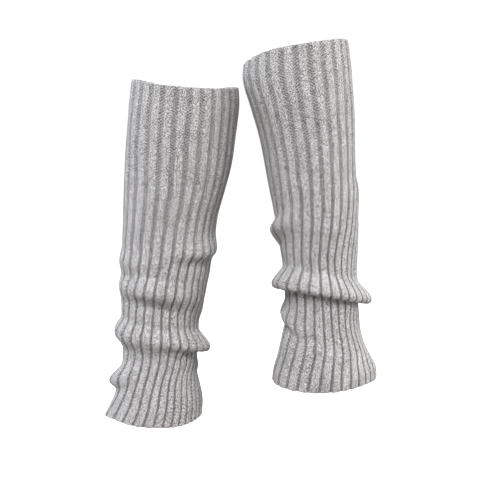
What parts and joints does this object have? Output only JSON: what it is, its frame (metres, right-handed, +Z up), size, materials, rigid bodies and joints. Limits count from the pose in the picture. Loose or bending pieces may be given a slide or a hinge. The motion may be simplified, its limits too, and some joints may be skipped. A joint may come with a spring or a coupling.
{
  "type": "pair of leg warmers",
  "caption": "Pair of long rib-knit leg warmers, worn slouched: open tubes, smooth over the calf and pushed down into soft folds over the ankle.",
  "frame": {"origin": "midway between the middles of the two top openings, where the wearer's calves hold the pair up", "axes": "+Z up the legs, +X to the right of the pair as seen from the front, +Y from the front to the back of the legs"},
  "size_m": [0.3159, 0.126, 0.4405],
  "materials": {
    "rib_knit": "matt light grey marl wool-blend rib knit"
  },
  "bodies": {
    "root": {"leg_warmer_left": "rib_knit", "leg_warmer_right": "rib_knit"}
  },
  "joints": []
}
